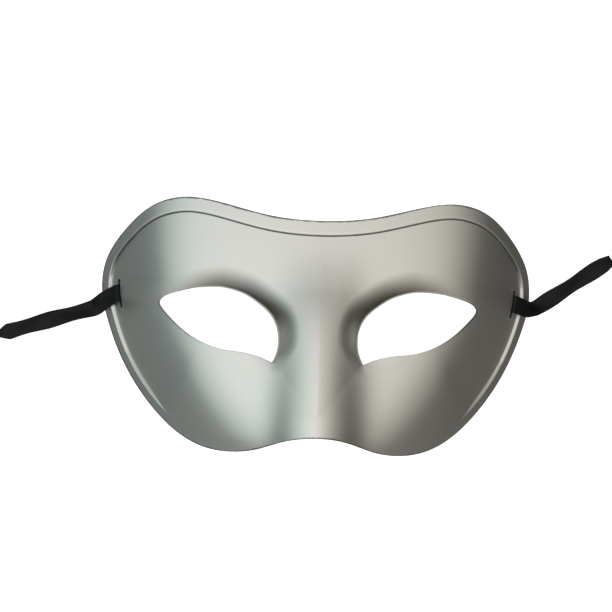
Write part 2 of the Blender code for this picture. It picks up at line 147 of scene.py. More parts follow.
# Right half of the rim from the brow's middle round to the nose's lower middle:
# (share of the half width, share of the half height)
RIM_TABLE = (
    (0.000, 0.836),
    (0.227, 0.868),
    (0.455, 0.963),
    (0.618, 1.000),
    (0.756, 0.940),
    (0.892, 0.743),
    (0.983, 0.497),
    (1.000, 0.274),
    (0.970, 0.021),
    (0.909, -0.258),
    (0.828, -0.502),
    (0.730, -0.713),
    (0.619, -0.880),
    (0.506, -0.973),
    (0.388, -1.000),
    (0.266, -0.971),
    (0.142, -0.895),
    (0.000, -0.861),
)
RIM_TEMPLE_ROW = 7

# Right eye opening from its lower inner corner, up the nose side, out along the brow and back under the eye:
# (share of the eye's length from the nose side, share of its height from its middle,
# share of the roll's depth, share of the roll's width)
EYE_TABLE = (
    (0.047, -0.500, 0.15, 0.53),
    (0.014, -0.375, 0.40, 0.68),
    (0.000, -0.235, 0.60, 0.84),
    (0.007, -0.075, 0.85, 0.95),
    (0.036, 0.057, 1.00, 1.00),
    (0.090, 0.180, 1.00, 1.00),
    (0.160, 0.278, 0.90, 1.00),
    (0.265, 0.393, 0.75, 1.00),
    (0.370, 0.458, 0.62, 1.00),
    (0.470, 0.493, 0.55, 1.00),
    (0.570, 0.495, 0.45, 0.95),
    (0.690, 0.477, 0.30, 0.84),
    (0.810, 0.432, 0.15, 0.63),
    (0.905, 0.387, 0.05, 0.53),
    (0.975, 0.330, 0.00, 0.53),
    (0.998, 0.268, 0.00, 0.53),
    (0.982, 0.205, 0.00, 0.53),
    (0.935, 0.115, 0.00, 0.53),
    (0.838, -0.037, 0.00, 0.53),
    (0.700, -0.198, 0.00, 0.53),
    (0.555, -0.300, 0.00, 0.53),
    (0.425, -0.350, 0.00, 0.53),
    (0.295, -0.372, 0.00, 0.53),
    (0.175, -0.415, 0.05, 0.53),
    (0.105, -0.455, 0.10, 0.53),
    (0.047, -0.500, 0.15, 0.53),
)
EYE_BROW_ROW = 5
EYE_TEMPLE_ROW = 15

# Section through the raised border, from the rim inwards:
# (share of the border's width, share of its rise lost)
BORDER_TABLE = (
    (0.000, 0.000),
    (0.120, 0.000),
    (0.300, 0.000),
    (0.550, 0.000),
    (0.780, 0.000),
    (0.880, 0.010),
    (0.920, 0.060),
    (0.950, 0.160),
    (0.975, 0.340),
    (1.000, 0.580),
    (1.030, 0.880),
    (1.045, 1.000),
    (1.075, 1.000),
    (1.150, 1.000),
    (1.300, 1.000),
)

# Each ribbon's free run after the slot, from the face of the border down to the surface under the mask:
# (x, y, z, radius of the bend there)
LEFT_RUN = (
    (-0.0876, 0.0089, 0.0055, 0.0080),
    (-0.0918, 0.0056, 0.0006, 0.0040),
    (-0.1080, 0.0008, 0.0006, 0.0400),
    (-0.1312, -0.0065, 0.0006, 0.0000),
)
RIGHT_RUN = (
    (0.0875, 0.0100, 0.0055, 0.0080),
    (0.0918, 0.0105, 0.0006, 0.0040),
    (0.1000, 0.0160, 0.0006, 0.0150),
    (0.1120, 0.0243, 0.0006, 0.0400),
    (0.1232, 0.0318, 0.0006, 0.0000),
)
# Ends of the ribbons: (distance from the end, share of the width)
LEFT_END = ((0.0040, 1.00), (0.0000, 0.40))
RIGHT_END = ((0.0040, 1.00), (0.0000, 0.75))

# The photograph's viewing angle: the point looked at, its pixel, and the camera's turn about it
PHOTO_SIDE = 612.0
FOCAL_PIXELS = 2898.0
PIVOT_PIXEL = (318.404, 325.0)
PIVOT = (0.0, 0.0011, 0.0431)
CAMERA_DISTANCE = 1.165
CAMERA_ROLL = -1.62
CAMERA_YAW = 1.859
SENSOR_WIDTH = 36.0
CLIP_START = 0.05
CLIP_END = 20.0

# Paint at the edges, in millimetres from them: worn rim, painted highlight on the lip of the eyes, worn edge
# of the eyes
RIM_WEAR = 0.75
EYE_LIP_HIGHLIGHT = 0.90
EYE_WEAR = 0.10
RIM_SAMPLES = 1600
# Heights in plan where the rolled edge's painted shadow and the border step's painted shade start, and how
# they fade in
ROLL_SHADOW_LOW = -0.0040
ROLL_SHADOW_FADE = 0.0100
STEP_SHADE_END_Y = 0.0180
STEP_SHADE_FADE = 0.0100
# Painted shade line on the border's step, in shares of its rise: where it starts, how it grows and where it
# ends, and its reach from the rim in border widths
STEP_FROM = 0.1
STEP_OVER = 0.3
STEP_TO = 0.985
STEP_OUT = 1.1
# Bare inside, in shares of the wall: where it starts and how it grows
BARE_FROM = 0.55
BARE_OVER = 0.5
# Painted shadow inside a slot: reach in slot widths and lengths, and its tone above this share of the wall
SLOT_ACROSS = 0.7
SLOT_ALONG = 0.55
SLOT_FACE = 0.4
SLOT_FACE_TONE = 0.7
# Noise scales of the paint, the satin and the floor, and spacing of the satin's threads
CLOUD_SCALE = 38.0
FLAKE_SCALE = 2600.0
PEEL_SCALE = 700.0
DUST_SCALE = 260.0
PATCH_SCALE = 420.0
WEAR_SCALE = 55.0
SATIN_SCALE = 160.0
FLOOR_SCALE = 3.0
THREAD_PITCH = 0.00034
FLOAT_PITCH = 0.00022
# Glow of the light table under the mask
FLOOR_GLOW = 0.72
FLOOR_REACH = 60.0
FLOOR_DROP = 0.00005
# Light tent: brightness from straight below (0) to straight above (1), how much it falls off to the right and
# to the brow and grows to the cheeks, what is left near the floor on either side, and its tint from left (0)
# to right (1)
TENT_DOME = (
    (0.50, (0.05, 0.05, 0.05)),
    (0.60, (0.37, 0.37, 0.37)),
    (0.70, (0.57, 0.57, 0.57)),
    (0.80, (0.70, 0.70, 0.70)),
    (0.90, (0.90, 0.90, 0.90)),
    (1.00, (1.14, 1.14, 1.14)),
)
TENT_RIGHT_FALL = 0.62
TENT_BROW_FALL = 0.60
TENT_CHEEK_RISE = 0.10
TENT_LOW_LEFT = 0.112
TENT_LOW_RIGHT = 0.040
TENT_TINT = (
    (0.10, (0.92, 1.05, 1.04)),
    (0.30, (0.97, 1.015, 1.004)),
    (0.50, (1.00, 0.97, 0.95)),
    (0.75, (1.03, 0.98, 0.90)),
)


class MaskSizes(bpy.types.PropertyGroup):
    """Sizes of the moulded shell."""

    half_width: FloatProperty(
        name="Half width", description="From the middle to a temple", default=SHELL_HIGH.x, unit="LENGTH")
    half_height: FloatProperty(
        name="Half height", description="From the middle to the brow's top", default=SHELL_HIGH.y,
        unit="LENGTH")
    wall: FloatProperty(name="Wall", description="Thickness of the wall", default=0.0014, unit="LENGTH")
    bridge_width: FloatProperty(
        name="Bridge", description="Width between the eye openings", default=0.0322, unit="LENGTH")
    eye_length: FloatProperty(
        name="Eye length", description="Length of an eye opening", default=0.0490, unit="LENGTH")
    eye_height: FloatProperty(
        name="Eye height", description="Height of an eye opening", default=0.0298, unit="LENGTH")
    roll_depth: FloatProperty(
        name="Roll depth", description="How far the brow edge rolls in", default=0.0055, unit="LENGTH")
    roll_width: FloatProperty(
        name="Roll width", description="Width of the rolled-in edge", default=0.0095, unit="LENGTH")
    border_width: FloatProperty(
        name="Border width", description="Width of the raised border", default=0.0060, unit="LENGTH")
    border_rise: FloatProperty(
        name="Border rise", description="Height of the raised border", default=0.0013, unit="LENGTH")
    edge_round: FloatProperty(
        name="Edge round", description="Rounding of the wall's edges", default=0.00032, unit="LENGTH")
    slot_length: FloatProperty(
        name="Slot length", description="Length of a ribbon slot", default=0.0112, unit="LENGTH")
    slot_width: FloatProperty(
        name="Slot width", description="Width of a ribbon slot", default=0.0018, unit="LENGTH")
    fineness: IntProperty(
        name="Fineness", description="How many times finer than the plain solid", default=3, min=1, max=6)


class PaintLook(bpy.types.PropertyGroup):
    """Colours of the shell."""

    silver: FloatVectorProperty(
        name="Silver", description="Colour of the paint", default=(0.50, 0.50, 0.475), subtype="COLOR")
    plastic: FloatVectorProperty(
        name="Plastic", description="Bare plastic inside", default=(0.56, 0.56, 0.54), subtype="COLOR")
    # Painted shadow in the rolled-in brow edge over each eye
    shadow: FloatVectorProperty(
        name="Rolled edge", description="Thin paint where the eyes' brow edge rolls in",
        default=(0.085, 0.074, 0.060), subtype="COLOR")
    # Dark plastic of the worn edges, also used for the painted shade on the border's step and, darker, the
    # painted shadow inside the slots
    primer_and_shade: FloatVectorProperty(
        name="Primer", description="Dark plastic where an edge is worn", default=(0.045, 0.050, 0.045),
        subtype="COLOR")
    roughness: FloatProperty(
        name="Roughness", description="Roughness of the paint", default=0.36, min=0.0, max=1.0,
        subtype="FACTOR")


class RibbonLook(bpy.types.PropertyGroup):
    """Size and colour of the satin ties."""

    width: FloatProperty(name="Width", description="Width of a ribbon", default=0.0070, unit="LENGTH")
    thickness: FloatProperty(
        name="Thickness", description="Thickness of the satin", default=0.00035, unit="LENGTH")
    colour: FloatVectorProperty(
        name="Satin", description="Colour of the satin", default=(0.0035, 0.0035, 0.0037), subtype="COLOR")
    step: FloatProperty(
        name="Step", description="Spacing of the strip's rows", default=0.0007, unit="LENGTH")


class StageLook(bpy.types.PropertyGroup):
    """Floor and light."""

    floor: FloatVectorProperty(
        name="Floor", description="Colour of the floor", default=(0.90, 0.90, 0.90), subtype="COLOR")
    strength: FloatProperty(name="Light", description="Strength of the light tent", default=1.35, min=0.0)


def spline(rows, closed):
    """Smooth curve through rows of numbers: knots and a function of the knot parameter."""
    points = np.array(rows, float)
    if closed:
        points = np.vstack([points, points[:1]])
    step = np.hypot(*np.diff(points[:, :2], axis=0).T)
    knots = np.concatenate([[0.0], np.cumsum(step)])
    count = len(knots)
    matrix = np.zeros((count, count))
    target = np.zeros((count, points.shape[1]))
    slope = np.diff(points, axis=0) / step[:, None]
    for i in range(1, count - 1):
        matrix[i, i - 1] = step[i - 1]
        matrix[i, i] = 2.0 * (step[i - 1] + step[i])
        matrix[i, i + 1] = step[i]
        target[i] = 6.0 * (slope[i] - slope[i - 1])
    if closed:
        matrix[0, 0] = 1.0
        matrix[0, -1] = -1.0
        matrix[-1, 0] = 2.0 * step[0]
        matrix[-1, 1] = step[0]
        matrix[-1, -2] = step[-1]
        matrix[-1, -1] = 2.0 * step[-1]
        target[-1] = 6.0 * (slope[0] - slope[-1])
    else:
        matrix[0, 0] = 1.0
        matrix[-1, -1] = 1.0
    bend = np.linalg.solve(matrix, target)

    def at(t):
        t = np.atleast_1d(np.asarray(t, float))
        i = np.clip(np.searchsorted(knots, t, side="right") - 1, 0, count - 2)
        h = step[i][:, None]
        a = (knots[i + 1] - t)[:, None] / h
        b = 1.0 - a
        curve = a * points[i] + b * points[i + 1]
        return curve + ((a ** 3 - a) * bend[i] + (b ** 3 - b) * bend[i + 1]) * h * h / 6.0

    return knots, at


def even_points(at, start, end, count):
    """count + 1 points, evenly spaced along a spline between two knot values."""
    t = np.linspace(start, end, 40 * count + 1)
    run = at(t)[:, :2]
    length = np.concatenate([[0.0], np.cumsum(np.hypot(*np.diff(run, axis=0).T))])
    wanted = np.interp(np.linspace(0.0, length[-1], count + 1), length, t)
    return at(wanted)


def soft_ramp(t):
    """Zero below 0, t above it, with a rounded start."""
    return np.logaddexp(0.0, t)


def soft_step(t):
    """From 0 to 1 through 0."""
    return 0.5 + 0.5 * np.tanh(0.5 * t)


def smooth_share(t):
    """From 0 to 1 with level ends."""
    t = np.clip(t, 0.0, 1.0)
    return t * t * (3.0 - 2.0 * t)


def nearest(x, y, points):
    """Row of the nearest plan point for each place, and its distance, worked out a chunk at a time."""
    near = np.empty(len(x), int)
    for start in range(0, len(x), CHUNK):
        cut = slice(start, start + CHUNK)
        away_x = x[cut, None] - points[:, 0]
        away_y = y[cut, None] - points[:, 1]
        near[cut] = (away_x * away_x + away_y * away_y).argmin(axis=1)
    return near, np.hypot(x - points[near, 0], y - points[near, 1])


class Front:
    """Form of the mask's front over its plan."""

    EYE_SAMPLES = 800
    RIM_FINE = 2000
    LEVEL_SAMPLES = 400
    REST_SAMPLES = 200

    def __init__(self, sizes):
        self.sizes = sizes
        half = [(x * sizes.half_width, y * sizes.half_height) for x, y in RIM_TABLE]
        other = [(-x, y) for x, y in reversed(half[1:-1])]
        knots, at = spline(half + other, True)
        y = at(np.linspace(0.0, knots[-1], self.RIM_FINE))[:, 1]
        middle = (y.max() + y.min()) / 2
        self.rim_knots, self.rim_at = spline([(x, y - middle) for x, y in half + other], True)
        rows = []
        for along, up, depth, width in EYE_TABLE:
            x = sizes.bridge_width / 2 + along * sizes.eye_length
            rows.append((x, EYE_MIDDLE_Y + up * sizes.eye_height, depth * sizes.roll_depth,
                         width * sizes.roll_width))
        self.eye_knots, self.eye_at = spline(rows, False)
        self.eye_fine = self.eye_at(np.linspace(0.0, self.eye_knots[-1], self.EYE_SAMPLES))
        calm = smooth_share(np.linspace(0.0, self.eye_knots[-1], self.EYE_SAMPLES) / CORNER_CALM)[:, None]
        self.eye_fine[:, 2:] = self.eye_fine[0, 2:] * (1.0 - calm) + self.eye_fine[:, 2:] * calm
        tangent = np.gradient(self.eye_fine[:, :2], axis=0)
        self.eye_tangent = tangent / np.linalg.norm(tangent, axis=1, keepdims=True)
        self.eye_spacing = self.eye_knots[-1] / (self.EYE_SAMPLES - 1)
        first, last = (self.rim_knots[row] for row in REST_ROWS)
        rim = self.rim_at(np.linspace(first, last, self.LEVEL_SAMPLES))
        raw = self.raw_height(rim[:, 0], rim[:, 1])
        order = np.argsort(rim[:, 1])
        self.level_floor = raw.min() + REST_LIFT
        self.level_y = rim[order, 1]
        self.level_lift = np.maximum(0.0, self.level_floor - raw)[order]
        rim = self.rim_at(np.linspace(first, last, self.REST_SAMPLES))
        down = self.normal(rim[:, 0], rim[:, 1])[:, 2] * (sizes.wall + sizes.border_rise)
        edge = self.height(rim[:, 0], rim[:, 1]) - down
        self.lift = -edge.min() - REST_SEAT

    def raw_height(self, x, y):
        """Height before the temples' edges are levelled."""
        run_out = self.sizes.half_width - TEMPLE_RUN
        side = np.sqrt(x * x + NOSE_RIDGE * NOSE_RIDGE)
        below = np.clip(TURN_TOP_Y - y, 0.0, TURN_LIMIT * TURN_DEPTH_Y)
        narrow = np.sqrt(1.0 - (below / TURN_DEPTH_Y) ** 2)
        lean = run_out * below / (TURN_DEPTH_Y ** 2 * narrow)
        past = (side - run_out * narrow) / np.sqrt(1.0 + lean * lean)
        slope = TEMPLE_SLOPE * (1.0 - y / TEMPLE_EASE_Y)
        height = -slope * TURN_SOFTNESS * soft_ramp(past / TURN_SOFTNESS)
        height = height - x * x / (2 * BOW_RADIUS_X) - y * y / (2 * BOW_RADIUS_Y)
        nose_end = RIM_TABLE[-1][1] * self.sizes.half_height
        start = soft_step((NOSE_TOP_Y - y) / NOSE_FADE)
        run = np.clip((NOSE_TOP_Y - y) / (NOSE_TOP_Y - nose_end), 0.0, NOSE_PAST)
        rise = start * (NOSE_RISE_TOP + (NOSE_RISE_LOW - NOSE_RISE_TOP) * run)
        half = NOSE_HALF_TOP + (NOSE_HALF_LOW - NOSE_HALF_TOP) * run
        within = soft_step((half - side) / NOSE_SOFTNESS)
        return height + within * (rise - start * NOSE_CROWN * run * (side / half) ** 2)

    def eye_distance(self, x, y):
        """Nearest row of the fine eye curve, and the distance from it, negative inside the opening."""
        near, _ = nearest(x, y, self.eye_fine)
        away_x = x - self.eye_fine[near, 0]
        away_y = y - self.eye_fine[near, 1]
        tangent = self.eye_tangent[near]
        along = away_x * tangent[:, 0] + away_y * tangent[:, 1]
        across = away_y * tangent[:, 0] - away_x * tangent[:, 1]
        beyond = np.maximum(np.abs(along) - self.eye_spacing, 0.0)
        at_corner = (near == 0) | (near == self.EYE_SAMPLES - 1)
        inside = (across < 0.0) & ~at_corner
        return near, np.hypot(across, beyond) * np.where(inside, -1.0, 1.0)

    def height(self, x, y):
        """Height of the border's face over the plan, before the whole front is lifted to rest."""
        x = np.atleast_1d(np.asarray(x, float))
        y = np.atleast_1d(np.asarray(y, float))
        start = self.sizes.half_width - LEVEL_START * TEMPLE_RUN
        outward = smooth_share((np.abs(x) - start) / (LEVEL_RUN * TEMPLE_RUN))
        level = np.interp(y, self.level_y, self.level_lift) * outward
        near, gap = self.eye_distance(np.abs(x), y)
        reach = np.clip(1.0 - gap / self.eye_fine[near, 3], 0.0, ROLL_PAST)
        return self.raw_height(x, y) + level - self.level_floor - self.eye_fine[near, 2] * reach * reach

    def normal(self, x, y):
        """Unit normal of that face."""
        e = NORMAL_STEP
        slope_x = (self.height(x + e, y) - self.height(x - e, y)) / (2 * e)
        slope_y = (self.height(x, y + e) - self.height(x, y - e)) / (2 * e)
        normal = np.stack([-slope_x, -slope_y, np.ones_like(slope_x)], axis=-1)
        return normal / np.linalg.norm(normal, axis=-1, keepdims=True)

    def rim_columns(self):
        """Right half of the rim: points, outward plan normals, foreshortening and the border's presence."""
        fine = self.sizes.fineness
        temple = self.rim_knots[RIM_TEMPLE_ROW]
        brow = even_points(self.rim_at, self.rim_knots[0], temple, ALONG_BROW * fine)
        nose = self.rim_knots[len(RIM_TABLE) - 1]
        cheek = even_points(self.rim_at, temple, nose, ALONG_CHEEK * fine)
        points = np.vstack([brow, cheek[1:]])
        before = np.vstack([points[1] * (-1, 1), points[:-1]])
        after = np.vstack([points[1:], points[-2] * (-1, 1)])
        along = after - before
        along /= np.linalg.norm(along, axis=1, keepdims=True)
        outward = np.stack([-along[:, 1], along[:, 0]], axis=1)
        outward *= np.sign((outward * points).sum(axis=1))[:, None]
        inset = points - outward * self.sizes.border_width * SLOPE_PROBE
        e = SLOPE_STEP
        slope = self.height(*(inset + outward * e).T) - self.height(*(inset - outward * e).T)
        shorten = 1.0 / np.sqrt(1.0 + (slope / (2 * e)) ** 2)
        present = soft_step((points[:, 1] - BORDER_END_Y) / BORDER_FADE)
        return points, outward, shorten, present

    def slot_frame(self, side):
        """Middle of a slot in the wall, with its directions down the wall, along the slot and out."""
        x = np.array([side * SLOT_MIDDLE_X])
        y = np.array([SLOT_MIDDLE_Y])
        out = self.normal(x, y)[0]
        lean = math.radians(SLOT_LEAN)
        along = np.array([side * math.sin(lean), math.cos(lean), 0.0])
        along -= out * along.dot(out)
        along /= np.linalg.norm(along)
        down = np.cross(along, out) * side
        middle = np.array([x[0], y[0], self.height(x, y)[0] + self.lift])
        middle -= out * (self.sizes.border_rise + self.sizes.wall / 2)
        return middle, down, along, out


def plan_grid(bm, columns, rows, place):
    """A grid of quads whose corners place(column, row) puts in plan, with each corner's step depth kept."""
    drop = bm.verts.layers.float.get("drop") or bm.verts.layers.float.new("drop")
    made = bmesh.ops.create_grid(bm, x_segments=columns, y_segments=rows, size=1.0)["verts"]
    for vert in made:
        i = round((vert.co.x + 1.0) / 2.0 * columns)
        j = round((vert.co.y + 1.0) / 2.0 * rows)
        x, y, depth = place(i, j)
        vert.co = (x, y, 0.0)
        vert[drop] = depth


def right_half(front):
    """Plan mesh of the mask's right half: the border strip, then quads from it to the eye opening."""
    sizes = front.sizes
    fine = sizes.fineness
    bm = bmesh.new()
    points, outward, shorten, present = front.rim_columns()
    strips = [points - outward * (d * sizes.border_width * shorten)[:, None] for d, _ in BORDER_TABLE]
    for strip in strips:
        strip[0, 0] = 0.0
        strip[-1, 0] = 0.0

    def border(i, j):
        return (*strips[j][i], present[i] * BORDER_TABLE[j][1] * sizes.border_rise)

    plan_grid(bm, len(points) - 1, len(BORDER_TABLE) - 1, border)
    inner = strips[-1]
    down_middle = ALONG_MIDDLE * fine
    middle = np.linspace(inner[-1, 1], inner[0, 1], down_middle + 1)
    fall = smooth_share(np.linspace(0.0, 1.0, down_middle + 1))
    ring = [(x, y, p) for (x, y), p in zip(inner, present)]
    ring += [(0.0, y, present[-1] + (present[0] - present[-1]) * f) for y, f in zip(middle[1:], fall[1:])]
    brow_t = front.eye_knots[EYE_BROW_ROW]
    corner_t = front.eye_knots[EYE_TEMPLE_ROW]
    over = even_points(front.eye_at, brow_t, corner_t, ALONG_BROW * fine)
    under = even_points(front.eye_at, corner_t, front.eye_knots[-1], ALONG_CHEEK * fine)
    nose = even_points(front.eye_at, front.eye_knots[0], brow_t, down_middle)
    eye = np.vstack([over, under[1:], nose[1:]])[:, :2]
    rings = EYE_TO_BORDER * fine

    def field(i, j):
        share = (j / rings) ** RING_GROWTH
        x = eye[i][0] + (ring[i][0] - eye[i][0]) * share
        y = eye[i][1] + (ring[i][1] - eye[i][1]) * share
        depth = ring[i][2] + (1.0 - ring[i][2]) * (1.0 - share)
        return x, y, depth * sizes.border_rise

    plan_grid(bm, len(ring) - 1, rings, field)
    bmesh.ops.remove_doubles(bm, verts=bm.verts[:], dist=WELD)
    return bm


def smooth_drop(front, plan, kept):
    """Depth of the field under the border's face at each corner, without the step itself."""
    points, _, _, present = front.rim_columns()
    sizes = front.sizes
    near, gap = nearest(np.abs(plan[:, 0]), plan[:, 1], points)
    under = present[near] * sizes.border_rise
    return np.where(gap < STEP_REACH * sizes.border_width, np.maximum(under, kept), kept)


def plan_key(x, y):
    """A place in plan as whole numbers, the same for two corners that lie one above the other."""
    return round(x * PLAN_KEY), round(y * PLAN_KEY)


def shell_bmesh(front):
    """Both halves, raised to the front's form and backed by the wall's inner face, with rounded edges."""
    sizes = front.sizes
    bm = right_half(front)
    bmesh.ops.mirror(bm, geom=bm.verts[:] + bm.edges[:] + bm.faces[:], axis="X", merge_dist=WELD)
    bmesh.ops.recalc_face_normals(bm, faces=bm.faces[:])
    if sum(face.normal.z for face in bm.faces) < 0.0:
        bmesh.ops.reverse_faces(bm, faces=bm.faces[:])
    drop = bm.verts.layers.float.get("drop")
    outer = bm.verts[:]
    plan = np.array([v.co.xy[:] for v in outer])
    kept = np.array([v[drop] for v in outer])
    normal = front.normal(plan[:, 0], plan[:, 1])
    surface = np.column_stack([plan, front.height(plan[:, 0], plan[:, 1]) + front.lift])
    gap = front.eye_distance(np.abs(plan[:, 0]), plan[:, 1])[1]
    upright = 1.0 - smooth_share(gap / EYE_TRIM)[:, None]
    through = normal * (1.0 - upright) + upright * np.array([0.0, 0.0, 1.0]) / normal[:, 2:]
    back = surface - through * (sizes.wall + smooth_drop(front, plan, kept))[:, None]
    face = surface - normal * kept[:, None]
    extruded = bmesh.ops.extrude_face_region(bm, geom=bm.faces[:], use_keep_orig=True)["geom"]
    made = [item for item in extruded if isinstance(item, bmesh.types.BMVert)]
    place = {plan_key(x, y): k for k, (x, y) in enumerate(plan)}
    for vert in made:
        vert.co = back[place[plan_key(vert.co.x, vert.co.y)]]
    for vert, point in zip(outer, face):
        vert.co = point
    bmesh.ops.recalc_face_normals(bm, faces=bm.faces[:])
    least = math.radians(ROUND_ANGLE)
    corners = [e for e in bm.edges if len(e.link_faces) == 2 and e.calc_face_angle(0.0) > least]
    bmesh.ops.bevel(bm, geom=corners, offset=sizes.edge_round, offset_type="OFFSET", affect="EDGES",
                    segments=3, profile=0.5, material=-1, clamp_overlap=True)
    for vert in bm.verts:
        vert.co.z = max(0.0, vert.co.z)
    return bm


def slot_cutter(front, side):
    """A bar with rounded long edges that stands square to the wall where a ribbon passes through it."""
    middle, down, along, out = (Vector(v) for v in front.slot_frame(side))
    bm = bmesh.new()
    bmesh.ops.create_cube(bm, size=1.0)
    size = (front.sizes.slot_width, front.sizes.slot_length, CUTTER_WALLS * front.sizes.wall)
    bmesh.ops.scale(bm, vec=size, verts=bm.verts[:])
    upright = [e for e in bm.edges if abs(e.verts[0].co.z - e.verts[1].co.z) > front.sizes.wall]
    bmesh.ops.bevel(bm, geom=upright, offset=SLOT_ROUND, offset_type="OFFSET", affect="EDGES", segments=3,
                    profile=0.5, material=-1)
    turn = Matrix((down * side, along, out)).transposed()
    bmesh.ops.rotate(bm, cent=(0, 0, 0), matrix=turn, verts=bm.verts[:])
    bmesh.ops.translate(bm, vec=middle, verts=bm.verts[:])
    return new_object("slot_cutter", bm)


def new_object(name, bm):
    """An object from a bmesh, at the origin and shaded smooth."""
    mesh = bpy.data.meshes.new(name)
    bm.to_mesh(mesh)
    bm.free()
    mesh.shade_smooth()
    made = bpy.data.objects.new(name, mesh)
    bpy.context.scene.collection.objects.link(made)
    return made


def settled(item):
    """Applies an object's modifiers to its mesh."""
    bpy.context.view_layer.update()
    evaluated = item.evaluated_get(bpy.context.evaluated_depsgraph_get())
    mesh = bpy.data.meshes.new_from_object(evaluated)
    item.modifiers.clear()
    old = item.data
    item.data = mesh
    bpy.data.meshes.remove(old)
    return item


def point_values(item, name, values):
    """Stores one number for each corner of the mesh, for its material."""
    layer = item.data.attributes.new(name, "FLOAT", "POINT")
    layer.data.foreach_set("value", np.asarray(values, np.float32))


def paint_values(item, front):
    """Keeps for each corner: its share of bare inside, how level it faces, its distances in millimetres from
    the rim and from an eye opening, and how much painted shade the rolled edge, a slot and the border's step
    give it."""
    co = np.array([v.co[:] for v in item.data.vertices])
    normal = front.normal(co[:, 0], co[:, 1])
    depth = (front.height(co[:, 0], co[:, 1]) + front.lift - co[:, 2]) * normal[:, 2]
    sizes = front.sizes
    full = sizes.wall + sizes.border_rise
    past = depth - full + BARE_FROM * sizes.wall
    point_values(item, "bare", smooth_share(past / (BARE_OVER * sizes.wall)))
    # How level it faces, which sets the painted shade on the steep sides
    point_values(item, "facing", normal[:, 2])
    rim = front.rim_at(np.linspace(0.0, front.rim_knots[-1], RIM_SAMPLES))
    from_rim = nearest(co[:, 0], co[:, 1], rim)[1]
    point_values(item, "rim_gap", from_rim / MM)
    near, gap = front.eye_distance(np.abs(co[:, 0]), co[:, 1])
    point_values(item, "eye_gap", gap / MM)
    # Painted shadow in the rolled-in brow edge: darker where the roll is deeper and nearer the opening, only
    # above the cheeks
    deep = np.sqrt(np.maximum(front.eye_fine[near, 2], 0.0) / sizes.roll_depth)
    upper = smooth_share((co[:, 1] - ROLL_SHADOW_LOW) / ROLL_SHADOW_FADE)
    point_values(item, "roll", deep * upper * np.clip(1.0 - gap / front.eye_fine[near, 3], 0.0, 1.0))
    # Painted shadow inside each slot
    slot_shadow = np.zeros(len(co))
    for side in (1, -1):
        middle, down, along, out = front.slot_frame(side)
        away = co - middle
        within = np.abs(away @ down) < SLOT_ACROSS * sizes.slot_width
        within &= np.abs(away @ along) < SLOT_ALONG * sizes.slot_length
        tone = np.where(away @ out > SLOT_FACE * sizes.wall, SLOT_FACE_TONE, 1.0)
        slot_shadow = np.maximum(slot_shadow, within * tone)
    point_values(item, "slot", slot_shadow)
    # Painted shade along the border's step, only near the brow
    lost = depth / sizes.border_rise
    on_step = np.clip((lost - STEP_FROM) / STEP_OVER, 0.0, 1.0)
    on_step *= (lost < STEP_TO) * (from_rim < STEP_OUT * sizes.border_width)
    high = smooth_share((co[:, 1] - STEP_SHADE_END_Y) / STEP_SHADE_FADE)
    point_values(item, "groove", on_step * high)


class Wire:
    """A shader socket that can be written in sums."""

    def __init__(self, tree, socket):
        self.tree = tree
        self.socket = socket

    def math(self, operation, *others):
        sockets = {i + 1: value for i, value in enumerate(others)}
        return self.tree.make("ShaderNodeMath", {"operation": operation}, {0: self, **sockets})

    def __add__(self, other):
        return self.math("ADD", other)

    def __sub__(self, other):
        return self.math("SUBTRACT", other)

    def __mul__(self, other):
        return self.math("MULTIPLY", other)

    def __rsub__(self, other):
        return (self * -1.0).math("ADD", other)

    __radd__ = __add__
    __rmul__ = __mul__

    def clamp(self):
        return self.math("MAXIMUM", 0.0).math("MINIMUM", 1.0)


class Shade:
    """A node tree that grows by expressions."""

    def __init__(self, tree):
        self.tree = tree
        tree.nodes.clear()

    def make(self, kind, settings=None, sockets=None, output=0):
        node = self.tree.nodes.new(kind)
        for key, value in (settings or {}).items():
            if key == "stops":
                self.set_stops(node.color_ramp, value)
            else:
                setattr(node, key, value)
        for key, value in (sockets or {}).items():
            if isinstance(value, Wire):
                self.tree.links.new(value.socket, node.inputs[key])
            else:
                node.inputs[key].default_value = value
        if not node.outputs:
            return node
        return Wire(self, node.outputs[output])

    def set_stops(self, ramp, stops):
        while len(ramp.elements) < len(stops):
            ramp.elements.new(0.5)
        for element, (position, colour) in zip(ramp.elements, stops):
            element.position = position
            element.color = (*colour, 1.0)

    def blend(self, factor, first, second):
        """Mix of two colours."""
        first = (*first, 1.0) if isinstance(first, (tuple, list)) else first
        second = (*second, 1.0) if isinstance(second, (tuple, list)) else second
        return self.make("ShaderNodeMix", {"data_type": "RGBA"}, {0: factor, 6: first, 7: second}, 2)

    def noise(self, where, scale, detail=2.0, roughness=0.5):
        return self.make("ShaderNodeTexNoise", None,
                         {"Vector": where, "Scale": scale, "Detail": detail, "Roughness": roughness})

    def attribute(self, name):
        return self.make("ShaderNodeAttribute", {"attribute_name": name}, None, 2)

    def surface(self, shader):
        self.make("ShaderNodeOutputMaterial", None, {"Surface": shader})


def new_material(name):
    material = bpy.data.materials.new(name)
    material.use_nodes = True
    return material, Shade(material.node_tree)


def scaled(colour, factor):
    return tuple(channel * factor for channel in colour)


